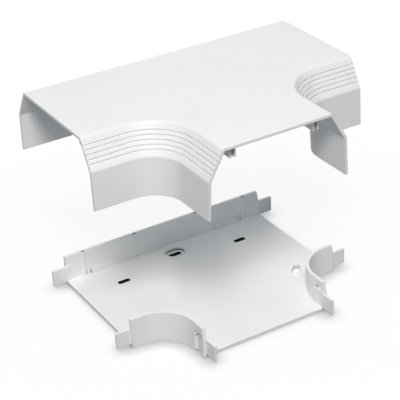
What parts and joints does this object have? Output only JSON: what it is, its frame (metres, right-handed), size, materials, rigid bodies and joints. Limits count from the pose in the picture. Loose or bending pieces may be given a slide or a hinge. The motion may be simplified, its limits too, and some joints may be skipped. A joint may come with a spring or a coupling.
{
  "type": "trunking tee fitting",
  "caption": "Surface trunking tee: a low channel base with joining tabs and a deep snap-over cover with bevelled shoulders and grooved inside corners.",
  "frame": {"origin": "on the mounting plane under the base, on the middle line of the run and of the branch where they cross", "axes": "+X along the run, -Y along the branch, +Z away from the wall or table the base is fixed to"},
  "size_m": [0.2, 0.153, 0.155],
  "materials": {
    "base_plastic": "smooth moulded white PVC",
    "cover_plastic": "smooth moulded white PVC"
  },
  "bodies": {
    "base": {"base": "base_plastic"},
    "cover": {"cover": "cover_plastic"}
  },
  "joints": [
    {"name": "cover_lift", "type": "slide", "parent": "base", "child": "cover", "axis": [0, 0, 1], "range_m": [-0.11, 0]}
  ]
}
